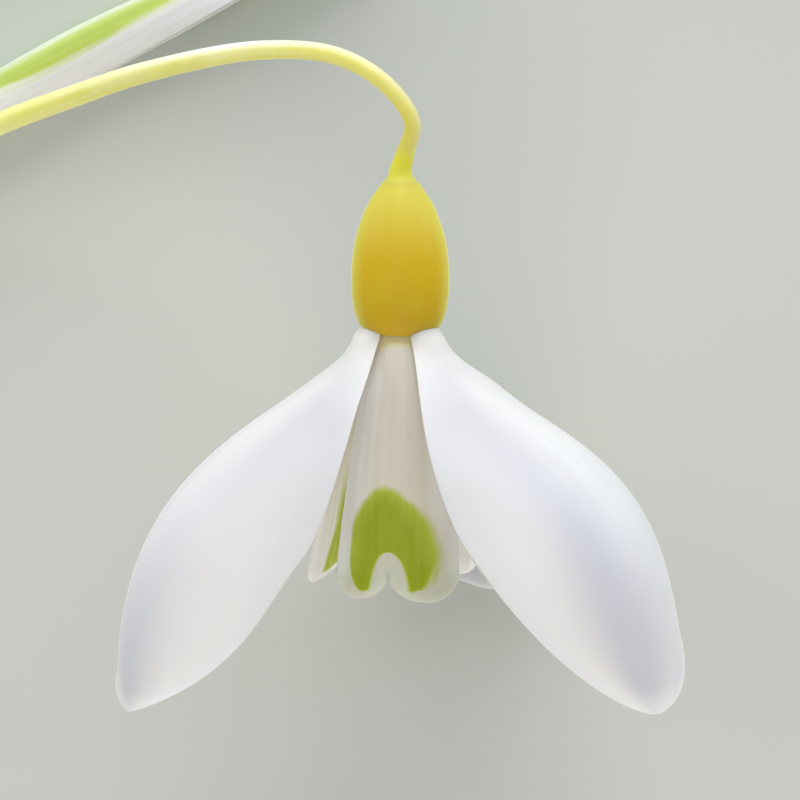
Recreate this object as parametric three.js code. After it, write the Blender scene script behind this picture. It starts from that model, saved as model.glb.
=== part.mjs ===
import * as THREE from "three";
import { mergeVertices } from "three/addons/utils/BufferGeometryUtils.js";

// A snowdrop flower, cut with part of its stalk and laid on a table. Millimetres and degrees.
// +X runs across the flower, +Y from its mouth to its stalk, and +Z up from the table.
// The head is built hanging, with its axis along Z and its mouth down, and is then laid over.
// It rests on the tip of its back tepal, on the spathe and along the stalk.

const clearance = 0.12; // between pieces that meet
const headHeight = 17.6; // the ovary's lower end above the table
const headDip = 9.2; // how far the mouth points below level

// The outline's points are [distance from the axis, height], as shares of the radius and length.
const ovary = {
  length: 7.5,
  radius: 2.38,
  neckRadius: 0.52,
  outline: [
    [0.5, 0],
    [0.72, 0.02],
    [0.86, 0.08],
    [0.98, 0.25],
    [0.93, 0.55],
    [0.7, 0.78],
    [0.43, 0.92],
  ],
  sides: 24,
};

// The tepals share one leaf shape. Curl is one over the radius across the leaf. A line's points
// are [distance towards the mouth, distance from the axis], and grid is [rows, columns].
const outerTepal = {
  halfWidth: 7.35,
  clawHalfWidth: 1.65,
  widestAt: 0.52,
  risePower: 1.5,
  tipRoot: 1.7,
  curlAtClaw: 0.1,
  curl: 0.187,
  thickness: 0.4,
  clawShare: 0.2, // of the length over which the claw lies round the axis
  clawEdgeInset: 0.19,
  grid: [24, 14],
};
const outerTepals = [
  {
    name: "outer_tepal_left",
    azimuth: -70,
    line: [[0.15, 2.3], [4.0, 3.3], [3.2, 11.5], [11.6, 14.3], [17.3, 13.4]],
    twist: 8,
    sway: -0.55,
    hook: 0.15,
    tipPower: 3.1,
  },
  {
    name: "outer_tepal_right",
    azimuth: 53.5,
    line: [[0.15, 2.3], [4.5, 3.9], [2.3, 11.9], [8.7, 15.7], [16.5, 14.6]],
    twist: -6.5,
    sway: -1.0,
    hook: 1.25,
    tipPower: 3.0,
  },
  {
    name: "outer_tepal_back",
    azimuth: 167,
    line: [[0.15, 2.3], [3.9, 3.8], [1.2, 12.4], [7.8, 16.4], [15.2, 15.92]],
    twist: 4,
    sway: 0.2,
    hook: -1.1,
    tipPower: 2.8,
  },
];

const innerTepal = {
  halfWidth: 2.95,
  clawHalfWidth: 1.25,
  widestAt: 0.75,
  risePower: 1,
  curlAtClaw: 0.7,
  curl: 0.27,
  thickness: 0.3,
  line: [[0.15, 1.45], [1.3, 2.75], [6.4, 3.0], [9.0, 3.3], [11.9, 4.3]],
  notchDepth: 1.2,
  lobeRoot: 2.2,
  cornerRoot: 1.2, // of the right lobe's outer corner
  flare: 0.24, // how much wider the left side gets at the lobes
  grid: [14, 20],
};
const innerTepals = [
  { name: "inner_tepal_front", azimuth: 0, twist: 0, notchShift: -0.2, tilt: 0.22 },
  { name: "inner_tepal_back_left", azimuth: -140, twist: -8, notchShift: 0.05, tilt: 0.45 },
  { name: "inner_tepal_back_right", azimuth: 115, twist: 4, notchShift: 0.03, tilt: 0 },
];

const stamens = { count: 6, firstAzimuth: 20, footFromAxis: 0.7, kneeFromAxis: 1.1 };
const filament = { radius: 0.17, length: 1.5, grid: [5, 8] };
const anther = { length: 5.6, halfWidth: 0.4, halfDepth: 0.32, tipFromAxis: 0.68, grid: [8, 8] };
const style = { radius: 0.19, length: 8.0, grid: [6, 8] };

// Points along the middle of each stalk on the table, before the whole flower is centred. The
// scape, the pedicel and the spathe meet at the joint and leave it in the heading's direction.
const joint = [-27.3, 5.9];
const jointHeading = 40;
const scape = {
  line: [[-38.6, -36.0], [-39.4, -26.0], [-38.6, -15.5], [-35.6, -5.2]],
  straightEnd: 4,
  halfWidth: 1.5,
  halfHeight: 1.25,
  slant: 1.1,
  grid: [24, 12],
};
const pedicel = {
  straightStart: 1.8,
  startRise: 0.4,
  line: [
    [-23.4, 8.6, 3.6],
    [-19.4, 10.3, 7.2],
    [-16.0, 11.4, 9.9],
    [-12.1, 12.5, 13.0],
    [-6.4, 13.3, 17.4],
    [-2.9, 12.9, 19.1],
    [-0.6, 11.5, 19.8],
    [0.55, 9.8, 19.7],
    [0.25, 8.5, 19.1],
  ],
  baseRadius: 0.6,
  archRadius: 0.37,
  taperPower: 1.6,
  neckShare: 0.07,
  grid: [48, 8],
};
const spathe = {
  halfWidth: 4.2,
  clawHalfWidth: 2.6,
  widestAt: 0.4,
  risePower: 1.5,
  tipPower: 1.5,
  tipRoot: 1.2,
  curlAtClaw: 0.67,
  curl: 0.67,
  thickness: 0.25,
  line: [[0, 1.5], [8, 1.9], [16, 0.6], [24, -2.3], [31, -6.5]],
  slitLift: 80,
  slitShare: 0.4,
  slitPower: 1.5,
  grid: [24, 12],
};

const looks = {
  ovary: { color: 0xd0b92f, roughness: 0.45 },
  outerTepal: { color: 0xf3f4f2, roughness: 0.5 },
  innerTepal: { color: 0xe9ebdf, roughness: 0.5 },
  filament: { color: 0xf0f0e4, roughness: 0.5 },
  anther: { color: 0xe8a93a, roughness: 0.6 },
  style: { color: 0xe4ecd2, roughness: 0.5 },
  scape: { color: 0x86a84a, roughness: 0.5 },
  pedicel: { color: 0xe6e28c, roughness: 0.45 },
  spathe: { color: 0xd5e2b5, roughness: 0.5 },
};

const { degToRad, lerp, smoothstep } = THREE.MathUtils;
const flower = new THREE.Group();
const ahead = new THREE.Vector3(1, 0, 0);
ahead.applyAxisAngle(new THREE.Vector3(0, 0, 1), degToRad(jointHeading));
const head = new THREE.Group();
head.position.z = headHeight;
head.rotation.x = degToRad(headDip - 90);
flower.add(head);

function addPiece(parent, name, geometry, look) {
  const mesh = new THREE.Mesh(geometry, new THREE.MeshStandardMaterial(look));
  mesh.name = name;
  parent.add(mesh);
  return mesh;
}

// A point and the direction of a Bezier curve through the plane, by de Casteljau's steps.
function bezier(points, t) {
  let rest = points.map(([x, y]) => new THREE.Vector2(x, y));
  while (rest.length > 2)
    rest = rest.slice(1).map((point, i) => rest[i].clone().lerp(point, t));
  const direction = rest[1].clone().sub(rest[0]).normalize();
  return { point: rest[0].clone().lerp(rest[1], t), direction };
}

// Half the leaf's width: it rises from the claw to the widest place and, if the leaf has a
// pointed tip, rounds off to it.
function halfWidthAt(leaf, u) {
  const rise = Math.sin((Math.PI / 2) * Math.min(u / leaf.widestAt, 1)) ** leaf.risePower;
  const wide = lerp(leaf.clawHalfWidth, leaf.halfWidth, rise);
  if (!leaf.tipPower) return wide;
  const past = Math.max(0, (u - leaf.widestAt) / (1 - leaf.widestAt));
  return wide * (1 - past ** leaf.tipPower) ** (1 / leaf.tipRoot);
}

// The leaf's outer face at u from base to tip and v from edge to edge. The section is an arc
// that curls towards the axis. turnAt turns it about a point pivotDepth inside the centre line,
// and swayAt shifts it sideways.
function leafPoint(leaf, u, v) {
  const { point, direction } = bezier(leaf.line, u);
  const curl = lerp(leaf.curl, leaf.curlAtClaw, (1 - u) ** 3);
  const angle = halfWidthAt(leaf, u) * curl * v;
  const section = new THREE.Vector2(Math.sin(angle), 1 - Math.cos(angle)).divideScalar(curl);
  section.rotateAround(new THREE.Vector2(0, leaf.pivotDepth), leaf.turnAt(u));
  const mouthwards = point.x + direction.y * section.y;
  const outwards = point.y - direction.x * section.y;
  return new THREE.Vector3(section.x + leaf.swayAt(u), -outwards, -mouthwards);
}

// A closed leaf: its outer face as given and an inner face behind it, which meet at the edge.
// Rows stand closer together towards the tip, where the outline turns most.
function leafGeometry(pointAt, thickness, [rows, columns]) {
  const step = 1e-3;
  const vertices = [];
  for (const depth of [0, thickness])
    for (let i = 0; i <= rows; i += 1)
      for (let j = 0; j <= columns; j += 1) {
        const u = Math.sin((Math.PI / 2) * (i / rows));
        const v = (2 * j) / columns - 1;
        const rim = i === 0 || i === rows ? 0 : 1 - v ** 4;
        const [u0, u1] = [Math.max(0, u - step), Math.min(1, u + step)];
        const [v0, v1] = [Math.max(-1, v - step), Math.min(1, v + step)];
        const alongway = pointAt(u1, v).sub(pointAt(u0, v));
        const inwards = pointAt(u, v1).sub(pointAt(u, v0)).cross(alongway).normalize();
        const point = pointAt(u, v).addScaledVector(inwards, depth * rim);
        vertices.push(point.x, point.y, point.z);
      }
  const row = columns + 1;
  const face = row * (rows + 1);
  const indices = [];
  for (let i = 0; i < rows; i += 1)
    for (let j = 0; j < columns; j += 1) {
      const a = i * row + j;
      const [b, c, d] = [a + 1, a + row, a + row + 1];
      indices.push(a, c, b, b, c, d);
      indices.push(face + a, face + b, face + c, face + b, face + d, face + c);
    }
  return closed(vertices, indices);
}

// Merges the vertices that lie together and drops the triangles that shrink to nothing.
function closed(vertices, indices) {
  const loose = new THREE.BufferGeometry();
  loose.setAttribute("position", new THREE.Float32BufferAttribute(vertices, 3));
  loose.setIndex(indices);
  const merged = mergeVertices(loose, 1e-3);
  const corners = merged.index.array;
  const kept = [];
  for (let i = 0; i < corners.length; i += 3) {
    const [a, b, c] = corners.subarray(i, i + 3);
    if (a !== b && b !== c && c !== a) kept.push(a, b, c);
  }
  merged.setIndex(kept);
  merged.computeVertexNormals();
  return merged;
}

// A closed stalk along a curve, with an oval section of half-widths across and along its normal.
// slant tips the first end's cut.
function stalkGeometry(curve, sizeAt, [steps, sides], slant = 0) {
  const frames = curve.computeFrenetFrames(steps, false);
  const vertices = [];
  const indices = [];
  for (let i = 0; i <= steps; i += 1) {
    const centre = curve.getPointAt(i / steps);
    const [across, along] = sizeAt(i / steps);
    for (let j = 0; j < sides; j += 1) {
      const angle = (2 * Math.PI * j) / sides;
      const point = centre.clone();
      point.addScaledVector(frames.binormals[i], across * Math.cos(angle));
      point.addScaledVector(frames.normals[i], along * Math.sin(angle));
      if (i === 0) point.addScaledVector(frames.tangents[0], slant * Math.cos(angle));
      vertices.push(point.x, point.y, point.z);
      const next = (j + 1) % sides;
      const [a, b] = [i * sides + j, i * sides + next];
      if (i < steps) indices.push(a, a + sides, b, b, a + sides, b + sides);
    }
  }
  for (const [t, ring] of [[0, 0], [1, steps]]) {
    const hub = vertices.length / 3;
    vertices.push(...curve.getPointAt(t));
    for (let j = 0; j < sides; j += 1) {
      const [a, b] = [ring * sides + j, ring * sides + ((j + 1) % sides)];
      indices.push(...(t === 0 ? [hub, a, b] : [hub, b, a]));
    }
  }
  return closed(vertices, indices);
}

// The ovary: an egg with its wide end at the tepals and a neck that the pedicel runs into.
function addOvary() {
  const { length, radius, neckRadius, outline, sides } = ovary;
  const points = outline.map(([r, z]) => new THREE.Vector2(r * radius, z * length));
  points.push(new THREE.Vector2(neckRadius, length));
  const side = new THREE.SplineCurve(points).getPoints(2 * points.length);
  const profile = [new THREE.Vector2(0, 0), ...side, new THREE.Vector2(0, length)];
  const geometry = new THREE.LatheGeometry(profile, sides);
  geometry.rotateX(Math.PI / 2);
  addPiece(head, "ovary", geometry, looks.ovary);
}

// Near its base a tepal is drawn onto a cone round the axis, through its own middle line, that
// closes in a little towards both edges. The pull fades along the claw.
function heldRound(leaf, u, v, point) {
  const middle = Math.hypot(leaf.swayAt(u), bezier(leaf.line, u).point.y);
  const radius = middle * (1 - leaf.clawEdgeInset * v ** 2);
  const pull = Math.max(0, 1 - u / leaf.clawShare) ** 2;
  const scale = lerp(1, radius / Math.hypot(point.x, point.y), pull);
  return point.set(point.x * scale, point.y * scale, point.z);
}

function addOuterTepals() {
  for (const { name, azimuth, line, twist, sway, hook, tipPower } of outerTepals) {
    const leaf = {
      ...outerTepal,
      line,
      tipPower,
      pivotDepth: 0,
      turnAt: (u) => degToRad(twist) * u,
      swayAt: (u) => sway * u ** 2 + hook * Math.max(0, 2 * u - 1) ** 3,
    };
    const pointAt = (u, v) => heldRound(leaf, u, v, leafPoint(leaf, u, v));
    const geometry = leafGeometry(pointAt, leaf.thickness, leaf.grid);
    const mesh = addPiece(head, name, geometry, looks.outerTepal);
    mesh.rotation.z = degToRad(azimuth);
  }
}

// An inner tepal ends in two rounded lobes with a notch between them. Its columns stand closer
// together at the notch and the edges. tilt makes the left lobe shorter and the right one longer.
function addInnerTepals() {
  const { notchDepth, lobeRoot, cornerRoot, flare, line, thickness, grid } = innerTepal;
  const length = line.at(-1)[0];
  for (const { name, azimuth, twist, notchShift, tilt } of innerTepals) {
    const leaf = {
      ...innerTepal,
      pivotDepth: 0,
      turnAt: (u) => degToRad(twist) * u,
      swayAt: () => 0,
    };
    const pointAt = (u, column) => {
      const acrossLobe = Math.cos(Math.PI * column);
      const lobeV = (Math.sign(column) * (1 - acrossLobe)) / 2;
      const root = lerp(lobeRoot, cornerRoot, smoothstep(column, 0.4, 0.9));
      const lobe = (1 - acrossLobe ** 2) ** (1 / root);
      const reach = 1 - (notchDepth * (1 - lobe) - tilt * lobeV) / length;
      const v = lobeV + notchShift * (1 - lobeV ** 2);
      const point = leafPoint(leaf, u * reach, v);
      point.x -= flare * smoothstep(u, 0.75, 1) * Math.max(0, -v) ** 3;
      return point;
    };
    const geometry = leafGeometry(pointAt, thickness, grid);
    const mesh = addPiece(head, name, geometry, looks.innerTepal);
    mesh.rotation.z = degToRad(azimuth);
  }
}

// The stamens stand round the style: a short filament and a long anther that leans inwards.
function addStamens() {
  const { count, firstAzimuth, footFromAxis, kneeFromAxis } = stamens;
  const filamentEnd = clearance + filament.length;
  const antherStart = filamentEnd + clearance;
  const filamentCurve = new THREE.QuadraticBezierCurve3(
    new THREE.Vector3(0, -footFromAxis, -2 * clearance),
    new THREE.Vector3(0, -kneeFromAxis, -filament.length / 3),
    new THREE.Vector3(0, -kneeFromAxis, -filamentEnd),
  );
  const antherCurve = new THREE.LineCurve3(
    new THREE.Vector3(0, -kneeFromAxis, -antherStart),
    new THREE.Vector3(0, -anther.tipFromAxis, -antherStart - anther.length),
  );
  const filamentSize = () => [filament.radius, filament.radius];
  // An anther is widest near its foot and narrows to its tip.
  const antherSize = (t) => {
    const size = Math.min(0.5 + 4 * t, Math.sqrt(1.05 - t));
    return [anther.halfWidth * size, anther.halfDepth * size];
  };
  for (let i = 0; i < count; i += 1) {
    const spoke = new THREE.Group();
    spoke.rotation.z = degToRad(firstAzimuth + (360 / count) * i);
    head.add(spoke);
    const filamentGeometry = stalkGeometry(filamentCurve, filamentSize, filament.grid);
    addPiece(spoke, `filament_${i + 1}`, filamentGeometry, looks.filament);
    const antherGeometry = stalkGeometry(antherCurve, antherSize, anther.grid);
    addPiece(spoke, `anther_${i + 1}`, antherGeometry, looks.anther);
  }
}

function addStyle() {
  const curve = new THREE.LineCurve3(
    new THREE.Vector3(0, 0, -clearance),
    new THREE.Vector3(0, 0, -clearance - style.length),
  );
  const size = () => [style.radius, style.radius];
  addPiece(head, "style", stalkGeometry(curve, size, style.grid), looks.style);
}

// A point at a height above the table, some way past the joint in the heading's direction.
function pastJoint(distance, height) {
  return new THREE.Vector3(...joint, height).addScaledVector(ahead, distance);
}

function addScape() {
  const { halfWidth, halfHeight, slant, grid } = scape;
  const line = scape.line.map(([x, y]) => new THREE.Vector3(x, y, halfHeight));
  line.push(pastJoint(-scape.straightEnd, halfHeight), pastJoint(0, halfHeight));
  const size = () => [halfWidth, halfHeight];
  const geometry = stalkGeometry(new THREE.CatmullRomCurve3(line), size, grid, slant);
  addPiece(flower, "scape", geometry, looks.scape);
}

// The pedicel leaves the scape inside the spathe, arches up off the table and meets the ovary.
function addPedicel() {
  const { straightStart, startRise, baseRadius, archRadius, taperPower, neckShare } = pedicel;
  const size = (t) => {
    const stalk = lerp(baseRadius, archRadius, t ** taperPower);
    const neck = Math.max(0, 1 - (1 - t) / neckShare);
    const radius = lerp(stalk, ovary.neckRadius, neck ** 2);
    return [radius, radius];
  };
  const start = pastJoint(2 * clearance, scape.halfHeight);
  const rise = pastJoint(straightStart, scape.halfHeight + startRise);
  const end = new THREE.Vector3(0, 0, ovary.length + 2 * clearance);
  head.updateMatrix();
  end.applyMatrix4(head.matrix);
  const arch = pedicel.line.map((point) => new THREE.Vector3(...point));
  const curve = new THREE.CatmullRomCurve3([start, rise, ...arch, end]);
  addPiece(flower, "pedicel", stalkGeometry(curve, size, pedicel.grid), looks.pedicel);
}

// The spathe is a leaf rolled almost into a tube. It starts round the top of the scape, and its
// slit faces up where the pedicel leaves and sideways further on.
function addSpathe() {
  const { slitLift, slitShare, slitPower, curl, thickness, grid } = spathe;
  const leaf = {
    ...spathe,
    pivotDepth: 1 / curl,
    turnAt: (u) => degToRad(slitLift) * Math.max(0, 1 - u / slitShare) ** slitPower,
    swayAt: () => 0,
  };
  const geometry = leafGeometry((u, v) => leafPoint(leaf, u, v), thickness, grid);
  const mesh = addPiece(flower, "spathe", geometry, looks.spathe);
  const down = new THREE.Vector3(0, 0, -1);
  const right = new THREE.Vector3(ahead.y, -ahead.x, 0);
  const back = ahead.clone().negate();
  mesh.setRotationFromMatrix(new THREE.Matrix4().makeBasis(down, right, back));
  mesh.position.copy(pastJoint(clearance, 1 / curl));
}

addOvary();
addOuterTepals();
addInnerTepals();
addStamens();
addStyle();
addScape();
addPedicel();
addSpathe();

// The origin is the middle of the flower's outline on the table.
flower.updateMatrixWorld(true);
const outline = new THREE.Box3().setFromObject(flower, true);
const middle = outline.getCenter(new THREE.Vector3());
flower.position.set(-middle.x, -middle.y, -outline.min.z);
const group = new THREE.Group();
group.add(flower);

export default group;
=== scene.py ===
import math

import bmesh
import bpy
import numpy as np
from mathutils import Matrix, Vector


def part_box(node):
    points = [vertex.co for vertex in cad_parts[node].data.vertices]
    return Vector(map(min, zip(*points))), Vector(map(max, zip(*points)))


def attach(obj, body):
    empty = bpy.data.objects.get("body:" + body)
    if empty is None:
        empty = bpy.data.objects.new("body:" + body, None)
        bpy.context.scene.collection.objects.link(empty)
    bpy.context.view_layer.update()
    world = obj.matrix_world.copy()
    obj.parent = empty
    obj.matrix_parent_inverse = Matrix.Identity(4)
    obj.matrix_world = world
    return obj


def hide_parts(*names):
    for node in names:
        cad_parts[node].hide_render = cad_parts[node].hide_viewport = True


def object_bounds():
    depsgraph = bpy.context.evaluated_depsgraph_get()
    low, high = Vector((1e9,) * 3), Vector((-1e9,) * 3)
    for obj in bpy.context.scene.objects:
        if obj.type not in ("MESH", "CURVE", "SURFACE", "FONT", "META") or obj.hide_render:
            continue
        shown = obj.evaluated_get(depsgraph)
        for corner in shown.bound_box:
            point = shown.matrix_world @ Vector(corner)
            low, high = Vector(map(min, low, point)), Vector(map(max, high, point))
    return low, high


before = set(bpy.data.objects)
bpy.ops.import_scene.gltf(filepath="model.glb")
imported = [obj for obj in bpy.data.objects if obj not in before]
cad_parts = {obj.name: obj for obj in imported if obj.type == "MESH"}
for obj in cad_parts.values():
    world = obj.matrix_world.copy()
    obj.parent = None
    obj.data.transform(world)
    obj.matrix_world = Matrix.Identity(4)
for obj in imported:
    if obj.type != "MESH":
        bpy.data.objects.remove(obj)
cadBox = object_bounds()
mm = 0.001  # shapes are worked out in millimetres and stored in metres


head = {
    "dip": 9.2,  # degrees that the mouth points below level
    "height": 17.6,  # of the ovary's lower end above the table
    "styleStart": 0.12,  # below the ovary's lower end
    "styleLength": 8.0,
}

dip = math.radians(head["dip"])
headAxis = np.array([0, math.cos(dip), math.sin(dip)])  # from the mouth to the stalk
styleMiddle = np.array(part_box("style")).mean(axis=0) / mm
headOrigin = styleMiddle + headAxis * (head["styleStart"] + head["styleLength"] / 2)
tableOrigin = headOrigin - [0, 0, head["height"]]


# Turns points about the head's axis, lays the head over and puts it in its place.
def headToRow(points, azimuth=0):
    turn = math.radians(azimuth)
    x = points[..., 0] * math.cos(turn) - points[..., 1] * math.sin(turn)
    y = points[..., 0] * math.sin(turn) + points[..., 1] * math.cos(turn)
    z = points[..., 2]
    laid = [x, y * math.sin(dip) + z * math.cos(dip), z * math.sin(dip) - y * math.cos(dip)]
    return np.stack(laid, -1) + headOrigin


# 0 below low, 1 above high, and a smooth step between.
def smoothStep(value, low, high):
    t = np.clip((value - low) / (high - low), 0, 1)
    return t * t * (3 - 2 * t)


def unit(vectors):
    size = np.linalg.norm(vectors, axis=-1, keepdims=True)
    return vectors / np.maximum(size, 1e-9)


# Even angles round a ring.
def anglesRound(sides):
    return 2 * np.pi * np.arange(sides) / sides


# Rows from base to tip as a quarter of a sine, so that they stand closer towards the tip.
def rowsToTip(rows):
    return np.sin(np.pi / 2 * np.linspace(0, 1, rows + 1))[:, None]


# Columns from edge to edge, less a cube, so that they stand closer at the edges.
def columnsAcross(columns, crowding):
    w = np.linspace(-1, 1, columns + 1)
    return (w * (1 + crowding - crowding * w**2))[None, :]


# A Bezier curve's points and directions: neighbours are mixed by t until one pair is left.
def bezier(points, t):
    t = np.asarray(t)[..., None]
    rest = [np.array(point, float) for point in points]
    while len(rest) > 2:
        rest = [a + (b - a) * t for a, b in zip(rest, rest[1:])]
    along = rest[1] - rest[0]
    return rest[0] + along * t, unit(along)


# A centripetal Catmull-Rom curve: cubic stretches whose speeds at each point come from the
# points beside it, cut into even steps along its length.
def smoothPath(points, steps):
    stretchSteps = 60
    p = np.array(points, float)
    p = np.vstack([2 * p[0] - p[1], p, 2 * p[-1] - p[-2]])
    gap = np.sqrt(np.linalg.norm(np.diff(p, axis=0), axis=1))[:, None]
    before, here, after = gap[:-2], gap[1:-1], gap[2:]
    p0, p1, p2, p3 = p[:-3], p[1:-2], p[2:-1], p[3:]
    leave = here * ((p1 - p0) / before - (p2 - p0) / (before + here) + (p2 - p1) / here)
    arrive = here * ((p2 - p1) / here - (p3 - p1) / (here + after) + (p3 - p2) / after)
    t = np.linspace(0, 1, stretchSteps, endpoint=False)[None, :, None]
    curve = (2 * t**3 - 3 * t**2 + 1) * p1[:, None] + (t**3 - 2 * t**2 + t) * leave[:, None]
    curve = curve + (3 * t**2 - 2 * t**3) * p2[:, None] + (t**3 - t**2) * arrive[:, None]
    dense = np.vstack([curve.reshape(-1, p.shape[1]), p[-2]])
    length = np.append(0, np.cumsum(np.linalg.norm(np.diff(dense, axis=0), axis=1)))
    even = np.linspace(0, length[-1], steps + 1)
    return np.stack([np.interp(even, length, dense[:, k]) for k in range(p.shape[1])], -1)


# Half of a leaf's width: a sine rise from the claw to the widest place, then a rounded tip,
# which the 14th power of the same share may pinch to a point.
def halfWidthAt(leaf, u):
    rise = np.sin(np.pi / 2 * np.clip(u / leaf["widestAt"], 0, 1)) ** leaf["risePower"]
    wide = leaf["clawHalfWidth"] + (leaf["halfWidth"] - leaf["clawHalfWidth"]) * rise
    if "tipPower" not in leaf:
        return wide
    past = np.clip((u - leaf["widestAt"]) / (1 - leaf["widestAt"]), 0, 1)
    pinch = (1 - past**14) ** leaf.get("tipPinch", 0)
    return wide * pinch * (1 - past ** leaf["tipPower"]) ** (1 / leaf["tipRoot"])


# A leaf's outer face at u from base to tip and v from edge to edge: a Bezier line carries an
# arc of half-width times v that curls towards the axis, is turned about a point above its
# middle line, and is shifted sideways. The claw's own curl fades out as a cube.
def leafSurface(leaf, u, v, turn, sway, pivot=0.0):
    middle, along = bezier(leaf["line"], u)
    curl = leaf["curl"] + (leaf["curlAtClaw"] - leaf["curl"]) * np.clip(1 - u, 0, 1) ** 3
    angle = halfWidthAt(leaf, u) * curl * v
    across = np.sin(angle) / curl
    deep = (1 - np.cos(angle)) / curl - pivot
    x = across * np.cos(turn) - deep * np.sin(turn)
    y = across * np.sin(turn) + deep * np.cos(turn) + pivot
    mouthwards = middle[..., 0] + along[..., 1] * y
    outwards = middle[..., 1] - along[..., 0] * y
    return np.stack([x + sway, -outwards, -mouthwards], -1)


# The direction into a sheet at each grid point: the cross product of its two grid directions.
def inwardsOf(grid):
    down = np.gradient(grid, axis=0)
    over = np.gradient(grid, axis=1)
    return unit(np.cross(over, down))


# Faces of a closed sheet: the outer grid, and an inner grid that shares the outer one's border.
def sheetFaces(rows, columns):
    outer = np.arange((rows + 1) * (columns + 1)).reshape(rows + 1, columns + 1)
    inner = outer.copy()
    inside = np.arange((rows - 1) * (columns - 1)).reshape(rows - 1, columns - 1)
    inner[1:-1, 1:-1] = inside + outer.size
    front = np.stack([outer[:-1, :-1], outer[1:, :-1], outer[1:, 1:], outer[:-1, 1:]], -1)
    back = np.stack([inner[:-1, :-1], inner[:-1, 1:], inner[1:, 1:], inner[1:, :-1]], -1)
    return np.vstack([front.reshape(-1, 4), back.reshape(-1, 4)])


# Faces of a closed tube: rings of points, with each end's ring drawn in to one point.
def tubeFaces(rings, sides):
    grid = np.arange(rings * sides).reshape(rings, sides)
    over = np.roll(grid, -1, axis=1)
    return np.stack([grid[:-1], over[:-1], over[1:], grid[1:]], -1).reshape(-1, 4)


# Rings along a path: side times cosine plus up times sine, by the half-widths at each step.
def stalkRings(path, across, high, sides, tangent=None):
    if tangent is None:
        tangent = unit(np.gradient(path, axis=0))
    side = unit(np.cross(tangent, [0, 0, 1]))
    up = np.cross(side, tangent)
    angle = anglesRound(sides)
    ring = side[:, None] * np.cos(angle)[None, :, None] * np.asarray(across)[..., None]
    ring = ring + up[:, None] * np.sin(angle)[None, :, None] * np.asarray(high)[..., None]
    return path[:, None] + ring, tangent


meshing = {
    "mergeWithin": 0.0008,  # points that are one
    "sliverBelow": 0.0002,
}


# Makes a closed mesh in the row's frame, with its doubles merged and its faces outwards, and
# puts it in place of its CAD node. fields holds one number or vector for each point.
def addPiece(name, points, faces, fields, material, nodeName):
    mesh = bpy.data.meshes.new(name)
    mesh.from_pydata((points.reshape(-1, 3) * mm).tolist(), [], faces.tolist())
    for field, values in fields.items():
        isVector = values.shape[-1] == 3 and values.ndim > 1
        kind = "FLOAT_VECTOR" if isVector else "FLOAT"
        layer = mesh.attributes.new(field, kind, "POINT")
        layer.data.foreach_set("vector" if isVector else "value", values.astype(np.float32).ravel())
    work = bmesh.new()
    work.from_mesh(mesh)
    bmesh.ops.remove_doubles(work, verts=work.verts, dist=meshing["mergeWithin"] * mm)
    bmesh.ops.dissolve_degenerate(work, edges=work.edges, dist=meshing["sliverBelow"] * mm)
    bmesh.ops.recalc_face_normals(work, faces=work.faces)
    work.to_mesh(mesh)
    work.free()
    mesh.shade_smooth()
    mesh.materials.append(material)
    piece = bpy.data.objects.new(name, mesh)
    bpy.context.scene.collection.objects.link(piece)
    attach(piece, "root")
    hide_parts(nodeName)


# An sRGB hex colour as linear red, green, blue and alpha.
def colour(text):
    value = np.array([int(text[i : i + 2], 16) for i in (1, 3, 5)]) / 255
    linear = np.where(value <= 0.04045, value / 12.92, ((value + 0.055) / 1.055) ** 2.4)
    return (*linear.tolist(), 1)


# Adds a node with its settings. An input is linked where it is given a socket, or set. A
# colour Mix has its factor at 0 and its colours at 6 and 7, and gives its result at 2.
def addNode(tree, kind, inputs, **settings):
    made = tree.nodes.new("ShaderNode" + kind)
    for key, value in settings.items():
        setattr(made, key, value)
    for key, value in inputs.items():
        if isinstance(value, bpy.types.NodeSocket):
            tree.links.new(value, made.inputs[key])
        else:
            made.inputs[key].default_value = value
    return made


# A material with one Principled shader, whose constant settings go on its own sockets.
def startMaterial(name, settings):
    material = bpy.data.materials.new(name)
    material.use_nodes = True
    shader = material.node_tree.nodes["Principled BSDF"]
    for key, value in settings.items():
        shader.inputs[key].default_value = value
    return material, material.node_tree, shader


# Noise drawn out into lines, from a place in millimetres across and along a piece and how
# many times it changes in a millimetre each way.
def drawnLines(tree, place, across, along, detail):
    stretched = addNode(tree, "Mapping", {"Vector": place, "Scale": (across, along, 1)}).outputs[0]
    return addNode(tree, "TexNoise", {"Vector": stretched, "Scale": 1, "Detail": detail}).outputs["Fac"]


# Joins a finished skin to its shader, with a bump whose full height is given in millimetres.
def joinSkin(tree, shader, skin, height, strength, rise):
    bump = addNode(tree, "Bump", {"Height": height, "Strength": strength, "Distance": rise * mm})
    tree.links.new(skin, shader.inputs["Base Color"])
    tree.links.new(bump.outputs[0], shader.inputs["Normal"])


ovary = {
    "length": 7.5,
    "radius": 2.38,
    "neckRadius": 0.52,
    "outline": [  # shares of its radius and its length
        [0.5, 0], [0.72, 0.02], [0.86, 0.08], [0.98, 0.25], [0.93, 0.55], [0.7, 0.78], [0.43, 0.92],
    ],
    "steps": 140,
    "sides": 128,
    "ridges": 6,  # very low, one below each tepal
    "ridgeDepth": 0.02,
    "body": "#dbb911",
    "foot": "#cfaa0c",
    "neck": "#dfd558",
    "green": "#cfc93a",
    "rimTint": "#f6fbc4",
    "paintedRimLight": "#e4dd50",  # painted rim light: a paler line down each side
    "rimLightShare": 0.65,
    "rimLightFrom": 0.72,  # shares of the radius
    "rimLightTo": 0.98,
}


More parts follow.
